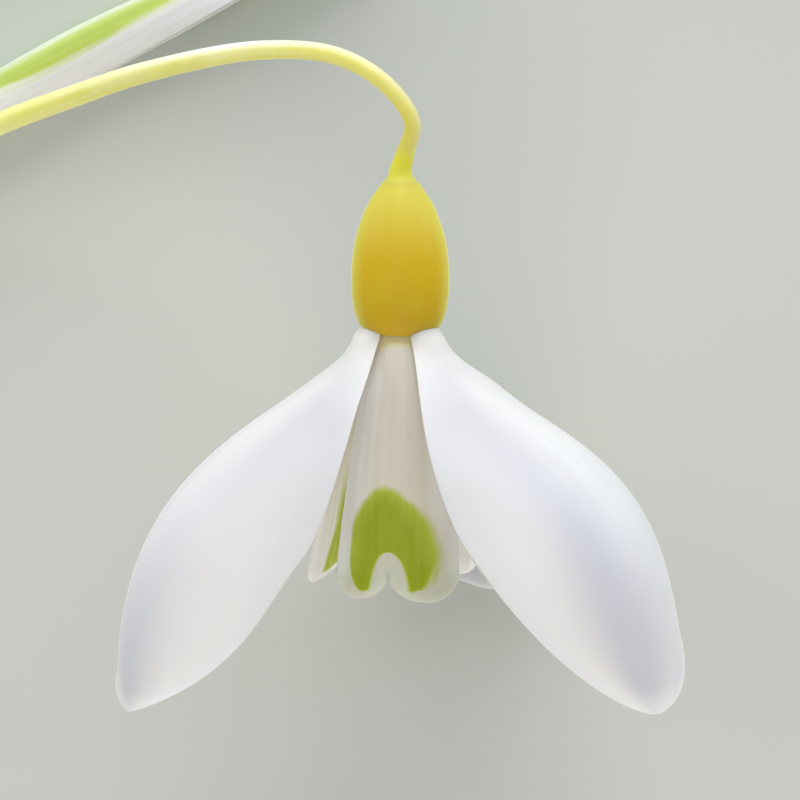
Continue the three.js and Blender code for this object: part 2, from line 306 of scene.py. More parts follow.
# An egg: the outline's smooth curve turned round the axis, drawn in a little between ridges
# that fade as a square towards the neck.
def ovarySurface():
    outline = np.array(ovary["outline"]) * [ovary["radius"], ovary["length"]]
    outline = np.vstack([outline, [ovary["neckRadius"], ovary["length"]]])
    side = smoothPath(outline, ovary["steps"])
    radius = np.concatenate([[0], [side[0, 0] / 2], side[:, 0], [side[-1, 0] / 2], [0]])
    height = np.concatenate([[0, 0], side[:, 1], [ovary["length"]] * 2])
    angle = anglesRound(ovary["sides"])
    fade = 1 - (height / ovary["length"])[:, None] ** 2
    ridge = ovary["ridgeDepth"] * fade * (1 - np.cos(ovary["ridges"] * angle)) / 2
    r = radius[:, None] * (1 - ridge)
    z = np.broadcast_to(height[:, None], r.shape)
    return np.stack([r * np.sin(angle), -r * np.cos(angle), z], -1), z


# The ovary's radius at a height, read off its outline between the rings of its two ends.
def radiusOfOvary(height):
    grid, heights = ovarySurface()
    radius = np.hypot(grid[..., 0], grid[..., 1])[2:-2, 0]
    return np.interp(height, heights[2:-2, 0], radius)


# Ovary wall: living skin with a thin wax, so it is satin and a little translucent, deep yellow
# at its foot and lemon at its neck, with greenish blotches 2 mm wide and pores 0.15 mm wide.
# A paler line down each side is painted rim light.
def ovaryMaterial():
    material, tree, shader = startMaterial("waxyOvarySkin", {
        "Roughness": 0.5,
        "IOR": 1.36,
        "Subsurface Weight": 0.45,
        "Subsurface Radius": (1.0, 0.8, 0.15),
        "Subsurface Scale": 0.0011,
        "Coat Weight": 0.05,
        "Coat Roughness": 0.3,
        "Sheen Weight": 0.9,
        "Sheen Roughness": 0.25,
        "Sheen Tint": colour(ovary["rimTint"]),
    })
    along = addNode(tree, "Attribute", {}, attribute_name="along").outputs["Fac"]
    # painted rim light down both sides
    paintedRimLight = addNode(tree, "Attribute", {}, attribute_name="paintedRimLight").outputs["Fac"]
    place = addNode(tree, "TexCoord", {}).outputs["Object"]
    blotch = addNode(tree, "TexNoise", {"Vector": place, "Scale": 450, "Detail": 2}).outputs["Fac"]
    pores = addNode(tree, "TexNoise", {"Vector": place, "Scale": 7000, "Detail": 3}).outputs["Fac"]
    # both colour changes are given in millimetres above its foot
    toBody = addNode(tree, "MapRange", {"Value": along, "From Min": 0.3, "From Max": 3.4}).outputs[0]
    toNeck = addNode(tree, "MapRange", {"Value": along, "From Min": 3.6, "From Max": 7.6}).outputs[0]
    greenish = addNode(tree, "MapRange", {"Value": blotch, "From Min": 0.5, "From Max": 0.8,
                                          "To Max": 0.35}).outputs[0]
    skin = colour(ovary["foot"])
    for tint, amount in {"body": toBody, "neck": toNeck, "green": greenish, "paintedRimLight": paintedRimLight}.items():
        mixed = addNode(tree, "Mix", {0: amount, 6: skin, 7: colour(ovary[tint])}, data_type="RGBA")
        skin = mixed.outputs[2]
    joinSkin(tree, shader, skin, pores, 0.12, 0.04)
    return material


def addOvary():
    grid, along = ovarySurface()
    faces = tubeFaces(len(grid), ovary["sides"])
    aside = abs(grid[..., 0]) / np.maximum(np.hypot(grid[..., 0], grid[..., 1]), 1e-6)
    # painted rim light, strongest where the surface faces straight left or right
    paintedRimLight = ovary["rimLightShare"] * smoothStep(aside, ovary["rimLightFrom"], ovary["rimLightTo"])
    fields = {"along": along, "paintedRimLight": paintedRimLight}
    addPiece("ovaryBody", headToRow(grid), faces, fields, ovaryMaterial(), "ovary")
    print("ovary made")


# Thins a sheet towards its edges: a quarter circle over the edge band, then a slow swell, one
# less a fourth power, to the full thickness in the middle.
def sheetDepth(leaf, fromEdge, v):
    near = np.clip(fromEdge / leaf["edgeBand"], 0, 1)
    swell = leaf["edgeThickness"] + (leaf["thickness"] - leaf["edgeThickness"]) * (1 - v**4)
    return swell * np.sqrt(1 - (1 - near) ** 2)


# Both faces of a sheet as one list of points, the inner face moved in by the depth, with each
# point's distance across, distance along and side.
def sheetPoints(outer, depth, across, along):
    across, along = np.broadcast_arrays(across, along)
    inner = outer + inwardsOf(outer) * depth[..., None]
    points = np.vstack([outer.reshape(-1, 3), inner[1:-1, 1:-1].reshape(-1, 3)])
    front = np.stack([across, along, np.zeros_like(across)], -1)
    back = np.stack([across, along, np.ones_like(across)], -1)
    place = np.vstack([front.reshape(-1, 3), back[1:-1, 1:-1].reshape(-1, 3)])
    return points, place


# A number for each point of the outer grid, repeated for the inner one.
def bothSides(values):
    return np.concatenate([values.ravel(), values[1:-1, 1:-1].ravel()])


outerTepal = {
    "halfWidth": 7.35,
    "clawHalfWidth": 1.65,
    "widestAt": 0.52,
    "risePower": 1.5,
    "tipRoot": 1.7,
    "curlAtClaw": 0.1,
    "curl": 0.187,
    "thickness": 0.4,
    "edgeThickness": 0.13,
    "edgeBand": 0.16,
    "length": 23.0,
    "ribs": 13,
    "ribDepth": 0.007,
    "ribDrift": 5,  # how unevenly they are spaced
    "keelRound": 0.5,
    "clawShare": 0.2,  # of the length over which the claw lies round the axis
    "clawEdgeInset": 0.19,
    "rootLength": 0.75,  # of the claw that runs up the ovary's foot and into it
    "rootCorner": 0.6,  # how much shorter it is at its edges
    "rootInset": 0.22,
    "rows": 180,
    "rootRows": 14,
    "columns": 132,
    "crowding": 0.3,  # of the columns at its edges
    "white": "#e6e7ea",
    "streak": "#e1e2e6",
    "shade": "#cecfd5",  # painted shade on the side that faces its neighbour
    "shadeAlong": (0.03, 0.25),  # shares of the length and the width over which it comes in
    "shadeAcross": (-0.05, 0.4),
    "paintedTipLightAndShade": "#fffaf2",  # painted light, cream, on the side of the tip that is lit through
    "paintedTipAlong": (0.15, 0.8),
    "paintedLight": "#ffffff",  # painted rim light along the thinner margin
    "marginLight": 0.6,
    "marginLightWidth": 1.2,
    "marginLightCutInside": 0.85,  # how much less painted rim light there is beside the neighbour
    "claw": "#f2efe9",
    "clawEnd": 2.4,
}
outerTepals = [
    {
        "name": "outerTepalLeft", "node": "outer_tepal_left", "azimuth": -70,
        "line": [[0.15, 2.3], [4.0, 3.3], [3.2, 11.5], [11.6, 14.3], [17.3, 13.4]],
        "twist": 8,  # degrees at the tip
        "sway": -0.55, "hook": 0.15,  # millimetres sideways at the tip
        "tipPower": 3.1, "tipPinch": 0.45, "keel": 0.12,
        "inwardSide": 1,  # 1 or -1 for the edge that faces its neighbour in front
        "paintedLightFrom": -0.05,  # how far towards that edge the painted cream light on the tip reaches
    },
    {
        "name": "outerTepalRight", "node": "outer_tepal_right", "azimuth": 53.5,
        "line": [[0.15, 2.3], [4.5, 3.9], [2.3, 11.9], [8.7, 15.7], [16.5, 14.6]],
        "twist": -6.5, "sway": -1.0, "hook": 1.25,
        "tipPower": 3.0, "tipPinch": 0.1, "keel": 0.09,
        "inwardSide": -1, "paintedLightFrom": 0.3,
    },
    {
        "name": "outerTepalBack", "node": "outer_tepal_back", "azimuth": 167,
        "line": [[0.15, 2.3], [3.9, 3.8], [1.2, 12.4], [7.8, 16.4], [15.2, 15.92]],
        "twist": 4, "sway": 0.2, "hook": -1.1,
        "tipPower": 2.8, "tipPinch": 0.15, "keel": 0.05,
        "inwardSide": 0, "paintedLightFrom": 0,
    },
]


# Draws each of a leaf's first rows onto an arc round the axis, through the row's own middle: the
# pull fades as a square, and the arc closes in a little towards both edges.
def heldRound(grid, u, v, leaf):
    away = np.hypot(grid[..., 0], grid[..., 1])
    radius = away[:, away.shape[1] // 2, None] * (1 - leaf["clawEdgeInset"] * v**2)
    scale = 1 + (radius / away - 1) * np.clip(1 - u / leaf["clawShare"], 0, 1) ** 2
    return grid * np.stack([scale, scale, np.ones_like(scale)], -1)


# Adds rows before the first, which run up along the axis and draw in evenly towards it.
def withRoot(grid, length, inset, rows):
    s = np.linspace(1, 0, rows, endpoint=False)[:, None]
    scale = 1 - inset * s
    risen = grid[:1] * np.stack([scale, scale, np.ones_like(scale)], -1)
    return np.vstack([risen + (length * s)[..., None] * [0, 0, 1], grid])


# An outer tepal: the shared leaf held round the ovary's foot, with low ribs, cosines across it
# that fade at both ends, and a keel along its middle near the tip, a rounded V across it. The
# middle line sways as a square and hooks as a cube past its half. The third result is how much
# painted cream light each point gets on the lit side of the tip, the fourth how much painted
# rim light along the margin, and the fifth how much painted shade on the side that faces its
# neighbour.
def outerTepalSheet(one):
    leaf = {**outerTepal, **one}
    v = columnsAcross(leaf["columns"], leaf["crowding"])
    u = rowsToTip(leaf["rows"])
    turn = math.radians(one["twist"]) * u
    sway = one["sway"] * u**2 + one["hook"] * np.clip(2 * u - 1, 0, 1) ** 3
    outer = heldRound(leafSurface(leaf, u, v, turn, sway), u, v, leaf)
    fade = smoothStep(u, 0.05, 0.3) * (1 - smoothStep(u, 0.8, 1)) * (1 - v**6)
    waves = np.cos(np.pi * leaf["ribs"] * v + leaf["ribDrift"] * v**2)
    rib = leaf["ribDepth"] * fade * (1 + waves) / 2
    fold = np.hypot(halfWidthAt(leaf, u) * v, leaf["keelRound"]) - leaf["keelRound"]
    keel = leaf["keel"] * smoothStep(u, 0.55, 1) * fold * (1 - v**2)
    outer = outer + inwardsOf(outer) * (rib + keel)[..., None]
    short = 1 - leaf["rootCorner"] * abs(v) ** 3
    outer = withRoot(outer, leaf["rootLength"] * short, leaf["rootInset"] * short, leaf["rootRows"])
    u = np.vstack([np.zeros((leaf["rootRows"], 1)), u])
    fromTip = (1 - u) * leaf["length"]
    fromEdge = np.minimum(halfWidthAt(leaf, u) * (1 - abs(v)), fromTip)
    depth = sheetDepth(leaf, fromEdge, v)
    points, place = sheetPoints(outer, depth, v * leaf["halfWidth"], u * leaf["length"])
    inwards = leaf["inwardSide"] * v
    # painted cream light on the side of the tip that is lit through
    paintedTipLightAndShade = smoothStep(u, *leaf["paintedTipAlong"]) * smoothStep(inwards, leaf["paintedLightFrom"], 0.9)
    nearTip = smoothStep(u, 0.5, 0.95)  # where the shade reaches further across
    # painted shade on the side that faces the neighbour, reaching further across near the tip
    low, high = leaf["shadeAcross"]
    shade = smoothStep(inwards, low - 0.45 * nearTip, high - 0.2 * nearTip)
    shade = shade * smoothStep(u, *leaf["shadeAlong"])
    # painted rim light along the margin, less beside the neighbour near the claw
    paintedLight = leaf["marginLight"] * (1 - smoothStep(fromEdge, 0, leaf["marginLightWidth"]))
    lessLightInside = smoothStep(inwards, 0, 0.5) * (1 - smoothStep(u, 0.3, 0.6))
    paintedLight = paintedLight * (1 - leaf["marginLightCutInside"] * lessLightInside)
    return points, place, bothSides(paintedTipLightAndShade), bothSides(paintedLight), bothSides(shade)


# Petal skin: white because air between its cells scatters the light. It is satin, lets light
# through, most of all at its thinner margins, and shows faint streaks where the veins run, about
# 0.4 mm apart. Its cells are 0.03 mm wide and are drawn as coarse as 0.1 mm, so that they show.
# Painted light and painted shade, given by each piece's points, are mixed into its colour.
def petalMaterial(name, look):
    material, tree, shader = startMaterial(name, {
        "Roughness": 0.44,
        "IOR": 1.4,
        "Subsurface Weight": 0.6,
        "Subsurface Radius": (1.0, 0.94, 0.9),
        "Subsurface Scale": 0.0012,
        "Sheen Weight": 0.3,
        "Sheen Roughness": 0.25,
    })
    place = addNode(tree, "Attribute", {}, attribute_name="place").outputs["Vector"]
    along = addNode(tree, "SeparateXYZ", {0: place}).outputs["Y"]
    veins = drawnLines(tree, place, 2.6, 0.14, 3)
    cells = addNode(tree, "TexNoise", {"Vector": place, "Scale": 9, "Detail": 2}).outputs["Fac"]
    streak = addNode(tree, "MapRange", {"Value": veins, "From Min": 0.35, "From Max": 0.75}).outputs[0]
    claw = addNode(tree, "MapRange", {
        "Value": along, "From Min": 0, "From Max": look["clawEnd"], "To Min": 1, "To Max": 0,
    }, interpolation_type="SMOOTHSTEP").outputs[0]
    # the tints for painted shade, painted light and painted rim light come as fields on the points
    amounts = {"streak": streak, "claw": claw}
    for field in ("shade", "paintedTipLightAndShade", "paintedLight"):
        if field in look:
            amounts[field] = addNode(tree, "Attribute", {}, attribute_name=field).outputs["Fac"]
    skin = colour(look["white"])
    for tint in ("streak", "shade", "paintedTipLightAndShade", "claw", "paintedLight"):
        if tint in amounts:
            mixed = addNode(tree, "Mix", {0: amounts[tint], 6: skin, 7: colour(look[tint])},
                            data_type="RGBA")
            skin = mixed.outputs[2]
    height = addNode(tree, "Math", {0: cells, 1: 0.3, 2: veins}, operation="MULTIPLY_ADD").outputs[0]
    joinSkin(tree, shader, skin, height, 0.1, 0.04)
    return material, tree, shader


def addOuterTepals():
    material = petalMaterial("outerPetalSkin", outerTepal)[0]
    faces = sheetFaces(outerTepal["rows"] + outerTepal["rootRows"], outerTepal["columns"])
    for one in outerTepals:
        points, place, paintedTipLightAndShade, paintedLight, shade = outerTepalSheet(one)
        points = headToRow(points, one["azimuth"])
        fields = {"place": place, "paintedTipLightAndShade": paintedTipLightAndShade, "paintedLight": paintedLight, "shade": shade}
        addPiece(one["name"], points, faces, fields, material, one["node"])
    print("outer tepals made")


innerTepal = {
    "halfWidth": 2.95,
    "clawHalfWidth": 1.25,
    "widestAt": 0.75,
    "risePower": 1,
    "curlAtClaw": 0.7,
    "curl": 0.27,
    "thickness": 0.3,
    "edgeThickness": 0.2,
    "edgeBand": 0.16,
    "line": [[0.15, 1.45], [1.3, 2.75], [6.4, 3.0], [9.0, 3.3], [11.9, 4.3]],
    "length": 11.9,
    "notchDepth": 1.2,
    "lobeRoot": 2.2,  # the higher, the squarer the lobes
    "cornerRoot": 1.2,  # of the right lobe's outer corner
    "cornerAcross": (0.4, 0.9),
    "ribs": 9,
    "ribDepth": 0.03,
    "ribsAlong": (0.1, 0.4),
    "lip": 0.16,  # how far the margin of the lobes turns out
    "lipWidth": 0.8,
    "lipAlong": (0.55, 0.95),
    "lipAcross": (0.02, 0.3),
    "flare": 0.24,  # how much wider its left side gets at the lobes
    "flareAlong": (0.75, 1),
    "rootLength": 0.5,
    "rootInset": 0.1,
    "rows": 170,
    "rootRows": 6,
    "columns": 132,
    # the beige white and streak are painted shade, where the outer tepals shade the inner ones and
    # yellowish light comes through them
    "white": "#dfd8c8",
    "streak": "#dad2c1",
    "paintedTipLightAndShade": "#cccdb8",  # painted shade on the lobes, which lie in shadow, with their thicker skin
    "paintedTipAlong": (0.72, 0.86),
    "paintedLight": "#fbfaf2",  # painted light at the flanks, the lobes' outer sides and the back tepals
    "paintedFlankLight": 0.85,
    "flankAcross": (0.3, 0.8),
    "flankUp": (2, 5),  # millimetres above the tip, and where it ends again
    "flankEnd": (9, 11),
    "paintedSideLight": 0.6,  # painted light on the lobes' outer sides
    "sideAcross": (0.65, 1),
    "sideUp": (0.4, 2),
    "claw": "#fff3ad",
    "clawEnd": 0.9,
    "mark": "#98a812",
    "markEdge": "#b4c240",
}
innerTepals = [
    {
        "name": "innerTepalFront", "node": "inner_tepal_front", "azimuth": 0, "twist": 0,
        "notchShift": -0.2,
        "tilt": 0.22,  # millimetres that its left side ends before its middle
        "markWidth": 1,
        "paleVein": 0.52,  # where a pale vein parts the mark's foot, as a share of the right lobe
        # how much painted light lies over the whole tepal
        "paintedWholeLight": 0,
        "innerMark": 1,  # how strong the mark on its inner face is
    },
    {
        "name": "innerTepalBackLeft", "node": "inner_tepal_back_left", "azimuth": -140, "twist": -8,
        "notchShift": 0.05, "tilt": 0.45, "markWidth": 0.82, "paleVein": 0.4,
        "paintedWholeLight": 1, "innerMark": 1,
    },
    {
        "name": "innerTepalBackRight", "node": "inner_tepal_back_right", "azimuth": 115, "twist": 4,
        "notchShift": 0.03, "tilt": 0, "markWidth": 1, "paleVein": 0.45,
        "paintedWholeLight": 1, "innerMark": 0,
    },
]
greenMark = {
    "halfWidth": 0.76,  # as a share of the tepal's own
    "middle": 2.2,  # millimetres above the lobes' ends, where it is widest
    "rise": 2.4,
    "risePower": 1.8,
    "capHalfWidth": 0.38,  # of the narrower dome on top of it
    "capFrom": 3.4,
    "capRise": 1.7,
    "lean": 0.03,  # to the left for each millimetre up
    "footAt": 0.38,
    "footRise": 1.85,
    "archHalfWidth": 0.9,
    "archRise": 2.15,
    "archSoftness": (-0.1, 0.16),
    "top": 5.4,  # where the last of it has faded out
    "topFade": 0.8,
    "softness": 0.04,  # of its limit
    "softer": 0.09,  # how much softer that gets towards its top, and again on its right
    "rimPaleness": 0.3,
    "rimWidth": 0.45,
    "rimUp": (0.8, 2.4),
    "margin": 0.3,
    "marginSoftness": 0.12,
    "veinHalfWidth": 0.045,
    "veinTop": 2.2,
    "veinFade": 0.9,
    "veinSlant": 0.11,
    "veinPaleness": 0.4,
}


# How green an inner tepal's outer face is: two ovals run together over the notch, drawn in to
# two feet below the widest place, less a smaller half oval over the notch itself and a pale
# vein that slants up from the right foot. The right side and the top fade the most, and the
# green is paler near its limit. Heights are above the lobes' ends, and width stretches it all.
def markOnOuterFace(height, lobeV, edge, paleVein, width):
    mark = greenMark
    side = abs(lobeV + mark["lean"] * np.clip(height - mark["middle"], 0, None)) / width
    above = np.clip((height - mark["middle"]) / mark["rise"], 0, 1)
    below = np.clip((mark["middle"] - height) / mark["footRise"], 0, 1)
    top = np.clip((height - mark["capFrom"]) / mark["capRise"], 0, 1)
    body = mark["halfWidth"] * np.sqrt(1 - above ** mark["risePower"])
    cap = mark["capHalfWidth"] * np.sqrt(1 - top**3)
    cap = cap * smoothStep(height, mark["middle"], mark["capFrom"])
    foot = mark["footAt"] + (mark["halfWidth"] - mark["footAt"]) * np.sqrt(1 - below**2)
    limit = np.where(height > mark["middle"], (body**3 + cap**3) ** (1 / 3), foot)
    arch = mark["archHalfWidth"] * np.sqrt(1 - np.clip(height / mark["archRise"], 0, 1) ** 2)
    arch = np.where(height < mark["archRise"], arch, -0.3)  # nothing is cut out above it
    fading = mark["top"] - mark["topFade"]
    softer = smoothStep(height, mark["middle"], fading) + smoothStep(lobeV, 0.2, 0.7)
    soft = mark["softness"] + mark["softer"] * softer
    inside = smoothStep(limit - side, -soft, soft)
    belowTop = 1 - smoothStep(height, fading, mark["top"])
    overArch = smoothStep(side * innerTepal["halfWidth"] - arch, *mark["archSoftness"])
    fromMargin = height - edge - mark["margin"]
    overEdge = smoothStep(fromMargin, -mark["marginSoftness"], mark["marginSoftness"])
    fromVein = abs(lobeV - paleVein - mark["veinSlant"] * height)
    onVein = 1 - smoothStep(fromVein, 0.2 * mark["veinHalfWidth"], mark["veinHalfWidth"])
    alongVein = 1 - smoothStep(height, mark["veinTop"] - mark["veinFade"], mark["veinTop"])
    pale = (1 - smoothStep(limit - side, 0, mark["rimWidth"])) * smoothStep(height, *mark["rimUp"])
    paler = (1 - mark["veinPaleness"] * onVein * alongVein) * (1 - mark["rimPaleness"] * pale)
    return inside * belowTop * overArch * overEdge * paler


innerFaceMark = {
    "halfWidth": 0.6,  # as a share of the tepal's own
    "drawnIn": 0.16,  # how much narrower it gets up the tepal
    "drawnInUp": (0.5, 3),  # millimetres, as for the others
    "depth": 0.72,
    "lines": 14,
    "lineDepth": 0.06,
    "marginUp": (0.35, 0.6),
    "fadeUp": (3, 6.5),
}


# How green the inner face is: a broad band with faint lines, cosines across it, that narrows
# and fades up the tepal.
def markOnInnerFace(height, lobeV, edge):
    mark = innerFaceMark
    side = abs(lobeV)
    lines = mark["depth"] + mark["lineDepth"] * np.cos(np.pi * mark["lines"] * side)
    limit = mark["halfWidth"] - mark["drawnIn"] * smoothStep(height - edge, *mark["drawnInUp"])
    inBand = 1 - smoothStep(side, limit - 0.1, limit + 0.08)
    overEdge = smoothStep(height - edge, *mark["marginUp"])
    return lines * inBand * overEdge * (1 - smoothStep(height, *mark["fadeUp"]))


# An inner tepal: the shared leaf cut by two round lobes, whose ends lie back from the tip by
# the notch's depth times one less an arc, and whose margin turns out as a square. The third
# result is how green each point is, the fourth how much painted shade lies on the lobes, which
# also have thicker skin, and the fifth how much painted light lies elsewhere.
def innerTepalSheet(one):
    leaf = innerTepal
    w = np.linspace(-1, 1, leaf["columns"] + 1)[None, :]
    acrossLobe = np.cos(np.pi * w)
    lobeV = np.sign(w) * (1 - acrossLobe) / 2
    atCorner = smoothStep(w, *leaf["cornerAcross"])
    root = leaf["lobeRoot"] + (leaf["cornerRoot"] - leaf["lobeRoot"]) * atCorner
    lobe = np.clip(1 - acrossLobe**2, 0, 1) ** (1 / root)
    edge = leaf["notchDepth"] * (1 - lobe) - one["tilt"] * lobeV
    reach = 1 - edge / leaf["length"]
    v = lobeV + one["notchShift"] * (1 - lobeV**2)
    rowAt = rowsToTip(leaf["rows"])
    turn = math.radians(one["twist"]) * rowAt * reach
    outer = leafSurface(leaf, rowAt * reach, v, turn, 0)
    spread = leaf["flare"] * smoothStep(rowAt, *leaf["flareAlong"]) * np.clip(-v, 0, 1) ** 3
    outer = outer - spread[..., None] * [1, 0, 0]
    fade = smoothStep(rowAt, *leaf["ribsAlong"]) * (1 - lobeV**6)
    rib = leaf["ribDepth"] * fade * (1 + np.cos(np.pi * leaf["ribs"] * v)) / 2
    fromSide = halfWidthAt(leaf, rowAt * reach) * (1 - abs(lobeV))
    fromEdge = np.minimum(fromSide, (1 - rowAt) * reach * leaf["length"])
    lip = leaf["lip"] * np.clip(1 - fromEdge / leaf["lipWidth"], 0, 1) ** 2
    lip = lip * smoothStep(rowAt, *leaf["lipAlong"]) * smoothStep(abs(lobeV), *leaf["lipAcross"])
    outer = outer + inwardsOf(outer) * (rib - lip)[..., None]
    outer = withRoot(outer, leaf["rootLength"], leaf["rootInset"], leaf["rootRows"])
    rowAt = np.vstack([np.zeros((leaf["rootRows"], 1)), rowAt])
    fromEdge = np.vstack([np.repeat(fromEdge[:1], leaf["rootRows"], axis=0), fromEdge])
    u = rowAt * reach
    height = (1 - u) * leaf["length"]
    depth = sheetDepth(leaf, fromEdge, lobeV)
    points, place = sheetPoints(outer, depth, v * leaf["halfWidth"] + 0 * u, u * leaf["length"])
    front = markOnOuterFace(height, lobeV, edge, one["paleVein"], one["markWidth"])
    back = markOnInnerFace(height, lobeV, edge) * one["innerMark"]
    green = np.concatenate([front.ravel(), back[1:-1, 1:-1].ravel()])
    # painted light at the flanks and the lobes' outer sides, and over all of the back tepals
    atFlank = smoothStep(abs(v), *leaf["flankAcross"]) * smoothStep(height, *leaf["flankUp"])
    atFlank = atFlank * (1 - smoothStep(height, *leaf["flankEnd"]))
    atSide = smoothStep(abs(v), *leaf["sideAcross"]) * smoothStep(height, *leaf["sideUp"])
    paintedLight = np.maximum(leaf["paintedFlankLight"] * atFlank, leaf["paintedSideLight"] * atSide)
    paintedLight = np.maximum(one["paintedWholeLight"], paintedLight)
    # painted shade on the lobes, with their thicker skin
    atLobes = smoothStep(u, *leaf["paintedTipAlong"])
    return points, place, green, bothSides(atLobes), bothSides(paintedLight)


# Inner petal skin: the same as the outer one's with green pigment in the cells round the notch,
# which lies in lines along the veins, 0.2 mm apart, and fades out unevenly at its edges.
def innerPetalMaterial():
    material, tree, shader = petalMaterial("innerPetalSkin", innerTepal)
    green = addNode(tree, "Attribute", {}, attribute_name="green").outputs["Fac"]
    place = addNode(tree, "Attribute", {}, attribute_name="place").outputs["Vector"]
    lines = drawnLines(tree, place, 5.5, 0.5, 2)
    uneven = addNode(tree, "MapRange", {"Value": lines, "From Min": 0.3, "From Max": 0.7,
                                        "To Min": -0.04, "To Max": 0.04}).outputs[0]
    moved = addNode(tree, "Math", {0: green, 1: uneven}, operation="ADD").outputs[0]
    skin = shader.inputs["Base Color"].links[0].from_socket
    for tint, start, full in (("markEdge", 0.12, 0.66), ("mark", 0.66, 1)):
        amount = addNode(tree, "MapRange", {"Value": moved, "From Min": start, "From Max": full})
        skin = addNode(tree, "Mix", {0: amount.outputs[0], 6: skin, 7: colour(innerTepal[tint])},
                       data_type="RGBA").outputs[2]
    tree.links.new(skin, shader.inputs["Base Color"])
    return material


def addInnerTepals():
    material = innerPetalMaterial()
    faces = sheetFaces(innerTepal["rows"] + innerTepal["rootRows"], innerTepal["columns"])
    for one in innerTepals:
        points, place, green, paintedTipLightAndShade, paintedLight = innerTepalSheet(one)
        points = headToRow(points, one["azimuth"])
        fields = {"place": place, "green": green, "paintedTipLightAndShade": paintedTipLightAndShade, "paintedLight": paintedLight}
        addPiece(one["name"], points, faces, fields, material, one["node"])
    print("inner tepals made")


stamens = {
    "count": 6,
    "firstAzimuth": 20,
    "root": 0.2,  # how far the filaments run up into the ovary's foot
    "footFromAxis": 0.7,
    "kneeFromAxis": 1.1,
    "tipFromAxis": 0.68,
    "filamentStart": 0.24,
    "filamentEnd": 1.62,
    "filamentRadius": 0.17,
    "filamentTaper": 0.8,
    "filamentSteps": 30,
    "antherStart": 1.74,
    "antherRoot": 0.1,  # how far the filament runs into the anther
    "antherLength": 5.6,
    "antherHalfWidth": 0.4,
    "antherHalfDepth": 0.32,
    "grooveDepth": 0.3,  # between the anther's two pollen sacs, as a share of its radius
    "sides": 40,
}
style = {
    "root": 0.3,
    "end": 8.12,
    "radius": 0.19,
    "waist": 0.13,
    "rings": 60,
    "sides": 32,
}
stamenSkins = {  # grain in spots to the metre
    "filamentSkin": {"body": "#f4f3ea", "spots": "#e3e6cf", "roughness": 0.45, "grain": 3000},
    "dustedAntherSkin": {"body": "#e2a033", "spots": "#f0c052", "roughness": 0.7, "grain": 9000},
    "styleSkin": {"body": "#eef0e2", "spots": "#cfdca8", "roughness": 0.45, "grain": 1500},
}


# Adds points on the axis before the first ring and after the last, so that a tube is closed.
def withPoles(rings, path):
    sides = rings.shape[1]
    first = np.repeat(path[:1, None], sides, axis=1)
    last = np.repeat(path[-1:, None], sides, axis=1)
    return np.concatenate([first, rings, last])


# A filament: a tube along a bent path from the ovary to the foot of its anther.
def filamentRings():
    knee = stamens["kneeFromAxis"]
    path = smoothPath([
        [0, -stamens["footFromAxis"], stamens["root"]],
        [0, -stamens["footFromAxis"], -stamens["filamentStart"]],
        [0, -(stamens["footFromAxis"] + 3 * knee) / 4, -stamens["filamentEnd"] / 2],
        [0, -knee, -stamens["filamentEnd"]],
        [0, -knee, -stamens["antherStart"] - stamens["antherRoot"]],
    ], stamens["filamentSteps"])
    radius = stamens["filamentRadius"] * np.linspace(1, stamens["filamentTaper"], len(path))[:, None]
    return tubeAlong(path, radius, radius, stamens["sides"])


# Rings whose section lies across the head's axis, for a path that runs mostly down it.
def tubeAlong(path, across, high, sides):
    angle = anglesRound(sides)
    ring = np.stack([np.cos(angle) * across, np.sin(angle) * high, 0 * across * angle], -1)
    return withPoles(path[:, None] + ring, path)


# An anther: a tube that swells fast from its foot and narrows like a square root to a fine
# point, pinched along the middle of its outer and inner side. Rings stand closer at both ends.
def antherRings():
    t = np.r_[np.linspace(0, 0.12, 10), np.linspace(0.14, 0.96, 60), np.linspace(0.965, 1, 12)]
    size = np.sqrt(np.clip(t / 0.1, 0, 1)) * np.sqrt(np.clip(1.02 - t, 0, 1)) * (1 - 0.25 * t)
    start = np.array([0, -stamens["kneeFromAxis"], -stamens["antherStart"]])
    end = np.array([0, -stamens["tipFromAxis"], -stamens["antherStart"] - stamens["antherLength"]])
    path = start + (end - start) * t[:, None]
    pinch = stamens["grooveDepth"] * np.exp(-(np.cos(anglesRound(stamens["sides"])) ** 2) / 0.03)
    radius = size[:, None] * (1 - pinch)
    across = stamens["antherHalfWidth"] * radius
    return tubeAlong(path, across, stamens["antherHalfDepth"] * radius, stamens["sides"])


# The style: a tube with a waist, between a square and a fourth power, and a blunt end.
def styleRings():
    t = np.linspace(0, 1, style["rings"])
    path = np.stack([0 * t, 0 * t, style["root"] - t * (style["root"] + style["end"])], -1)
    radius = style["waist"] + (style["radius"] - style["waist"]) * (t**2 + (1 - t) ** 4)
    radius = radius * np.sqrt(np.clip((1 - t) / 0.02, 0.25, 1))
    return tubeAlong(path, radius[:, None], radius[:, None], style["sides"])


# Anther wall, filament and style: dry matt sacs dusted with pollen, and smooth translucent
# stalks. The grain is drawn 0.1 to 0.7 mm wide, coarser than real pollen, so that it shows.
def stamenMaterial(name):
    look = stamenSkins[name]
    material, tree, shader = startMaterial(name, {
        "Roughness": look["roughness"],
        "IOR": 1.4,
        "Subsurface Weight": 0.3,
        "Subsurface Radius": (1.0, 0.8, 0.6),
        "Subsurface Scale": 0.0003,
    })
    place = addNode(tree, "TexCoord", {}).outputs["Object"]
    grains = addNode(tree, "TexNoise", {
        "Vector": place, "Scale": look["grain"], "Detail": 2,
    }).outputs["Fac"]
    spot = addNode(tree, "MapRange", {"Value": grains, "From Min": 0.45, "From Max": 0.65}).outputs[0]
    skin = addNode(tree, "Mix", {0: spot, 6: colour(look["body"]), 7: colour(look["spots"])},
                   data_type="RGBA")
    joinSkin(tree, shader, skin.outputs[2], grains, 0.4, 0.03)
    return material


